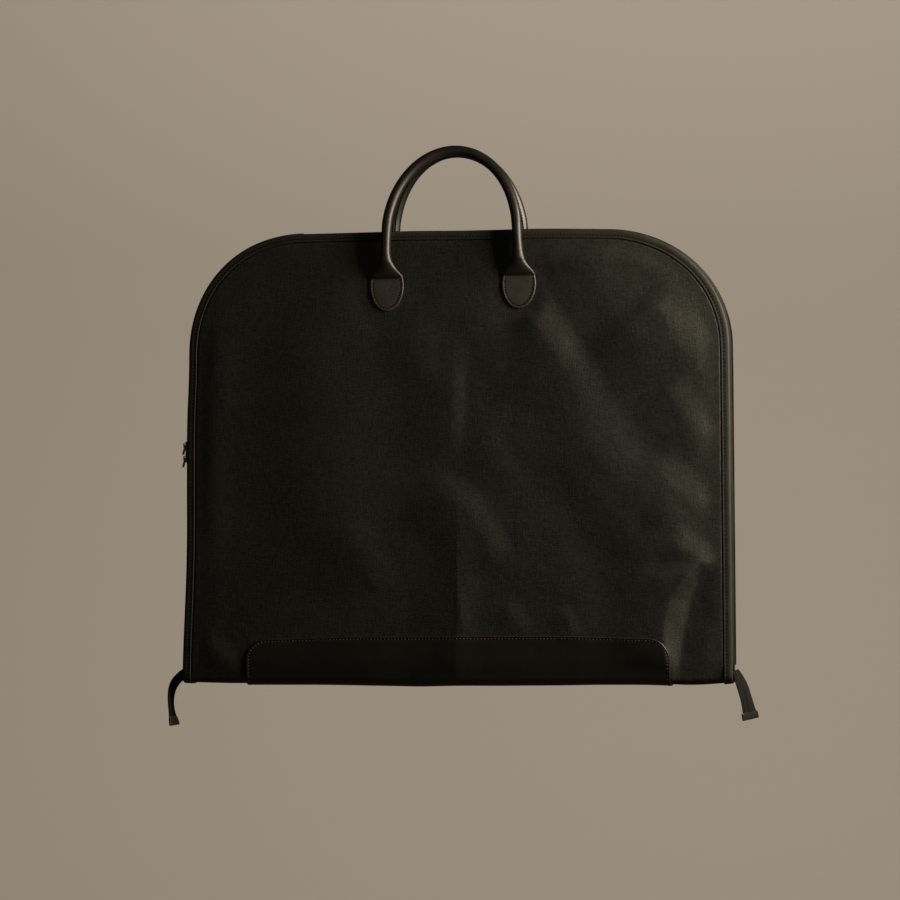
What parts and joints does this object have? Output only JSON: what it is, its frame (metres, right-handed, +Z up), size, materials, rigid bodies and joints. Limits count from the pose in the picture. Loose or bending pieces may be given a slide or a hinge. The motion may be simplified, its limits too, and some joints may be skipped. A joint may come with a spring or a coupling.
{
  "type": "garment bag",
  "caption": "Folding suit carrier: zipped fabric halves joined by a bottom fold, with rolled leather handles and a leather base patch, shown closed and hanging.",
  "frame": {"origin": "on the flat underside of the leather base, under the middle of the folded bag", "axes": "+Z up towards the handles, -Y towards the front face, +X towards the side without the zip sliders"},
  "size_m": [0.6417, 0.0578, 0.6335],
  "materials": {
    "shell_cloth": "fine plain-weave coated nylon, near-black charcoal with a slight sheen",
    "binding_cloth": "folded edge binding of the same cloth over piping",
    "lining_cloth": "smooth dark twill lining",
    "zip_tape": "ribbed woven zip tape",
    "zip_coil": "nylon zip coil",
    "leather": "smooth near-black leather, satin to glossy where rolled",
    "webbing": "ribbed woven webbing",
    "board": "fibreboard stiffener",
    "rope": "twisted cord core",
    "buckle_plastic": "moulded satin black",
    "steel": "spring steel",
    "gunmetal": "dark plated metal with worn edges"
  },
  "bodies": {
    "front_half": {"front_panel": "shell_cloth", "front_lining": "lining_cloth", "front_edge_wire": "steel", "front_handle_board": "board", "front_binding": "binding_cloth", "front_zip_tape": "zip_tape", "front_zip_coil": "zip_coil", "front_patch": "leather", "front_chape_left": "leather", "front_chape_right": "leather", "front_strap_left": "webbing", "front_strap_right": "webbing", "front_buckle_female": "buckle_plastic", "hanger_tab": "webbing"},
    "ring": {"hanger_ring": "steel"},
    "front_buckle": {"front_buckle_male": "buckle_plastic", "front_strap_tail": "webbing"},
    "front_handle": {"front_handle_cover": "leather", "front_handle_core": "rope"},
    "upper_slider": {"slider_upper": "gunmetal"},
    "upper_pull": {"pull_upper": "gunmetal"},
    "lower_slider": {"slider_lower": "gunmetal"},
    "lower_pull": {"pull_lower": "gunmetal"},
    "base": {"base_panel": "shell_cloth", "base_patch": "leather", "base_lining": "lining_cloth", "base_binding_left": "binding_cloth", "base_binding_right": "binding_cloth", "base_gusset_left": "zip_tape", "base_gusset_right": "zip_tape"},
    "tail_left": {"zip_tail_left": "zip_tape", "zip_end_tab_left": "leather"},
    "tail_right": {"zip_tail_right": "zip_tape", "zip_end_tab_right": "leather"},
    "back_half": {"back_panel": "shell_cloth", "back_lining": "lining_cloth", "back_edge_wire": "steel", "back_handle_board": "board", "back_binding": "binding_cloth", "back_zip_tape": "zip_tape", "back_zip_coil": "zip_coil", "back_patch": "leather", "back_chape_left": "leather", "back_chape_right": "leather", "back_strap_left": "webbing", "back_strap_right": "webbing", "back_buckle_female": "buckle_plastic", "pocket_panel": "lining_cloth", "pocket_zip_tape": "zip_tape"},
    "back_buckle": {"back_buckle_male": "buckle_plastic", "back_strap_tail": "webbing"},
    "back_handle": {"back_handle_cover": "leather", "back_handle_core": "rope"},
    "pocket_runner": {"pocket_slider": "gunmetal"},
    "pocket_tag": {"pocket_pull": "gunmetal"}
  },
  "joints": [
    {"name": "base_fold", "type": "hinge", "parent": "front_half", "child": "base", "pos_m": [0, -0.015, 0.0019], "axis": [-1, 0, 0], "range_deg": [0, 90], "stiffness_Nm_per_rad": 0.12, "springref_deg": -68.75},
    {"name": "back_fold", "type": "hinge", "parent": "base", "child": "back_half", "pos_m": [0, 0.015, 0.0019], "axis": [-1, 0, 0], "range_deg": [0, 90]},
    {"name": "front_handle_swing", "type": "hinge", "parent": "front_half", "child": "front_handle", "pos_m": [0, -0.018, 0.45], "axis": [1, 0, 0], "range_deg": [0, 135]},
    {"name": "back_handle_swing", "type": "hinge", "parent": "back_half", "child": "back_handle", "pos_m": [0, 0.018, 0.45], "axis": [-1, 0, 0], "range_deg": [0, 135]},
    {"name": "upper_slider_run", "type": "slide", "parent": "front_half", "child": "upper_slider", "axis": [0, 0, 1], "range_m": [0, 0.095]},
    {"name": "upper_pull_swing", "type": "hinge", "parent": "upper_slider", "child": "upper_pull", "pos_m": [-0.30565, 0, 0.2655], "axis": [0, 1, 0], "range_deg": [-12, 120]},
    {"name": "lower_slider_run", "type": "slide", "parent": "front_half", "child": "lower_slider", "axis": [0, 0, -1], "range_m": [0, 0.222]},
    {"name": "lower_pull_swing", "type": "hinge", "parent": "lower_slider", "child": "lower_pull", "pos_m": [-0.30565, 0, 0.2515], "axis": [0, 1, 0], "range_deg": [-12, 76]},
    {"name": "tail_left_swing", "type": "hinge", "parent": "base", "child": "tail_left", "pos_m": [-0.3016, 0, 0.0165], "axis": [0, 1, 0], "range_deg": [-18, 60]},
    {"name": "tail_right_swing", "type": "hinge", "parent": "base", "child": "tail_right", "pos_m": [0.3016, 0, 0.0165], "axis": [0, -1, 0], "range_deg": [-4, 60]},
    {"name": "hanger_ring_swing", "type": "hinge", "parent": "front_half", "child": "ring", "pos_m": [0, -0.008, 0.466], "axis": [1, 0, 0], "range_deg": [0, 35]},
    {"name": "front_buckle_release", "type": "slide", "parent": "front_half", "child": "front_buckle", "axis": [1, 0, 0], "range_m": [0, 0.022]},
    {"name": "back_buckle_release", "type": "slide", "parent": "back_half", "child": "back_buckle", "axis": [1, 0, 0], "range_m": [0, 0.022]},
    {"name": "pocket_slider_run", "type": "slide", "parent": "back_half", "child": "pocket_runner", "axis": [1, 0, 0], "range_m": [0, 0.33]},
    {"name": "pocket_pull_swing", "type": "hinge", "parent": "pocket_runner", "child": "pocket_tag", "pos_m": [-0.165, 0.0074, 0.408], "axis": [0, 0, 1], "range_deg": [0, 170]}
  ],
  "couplings": [
    {"joint": "back_fold", "follows": "base_fold", "ratio": 1}
  ]
}
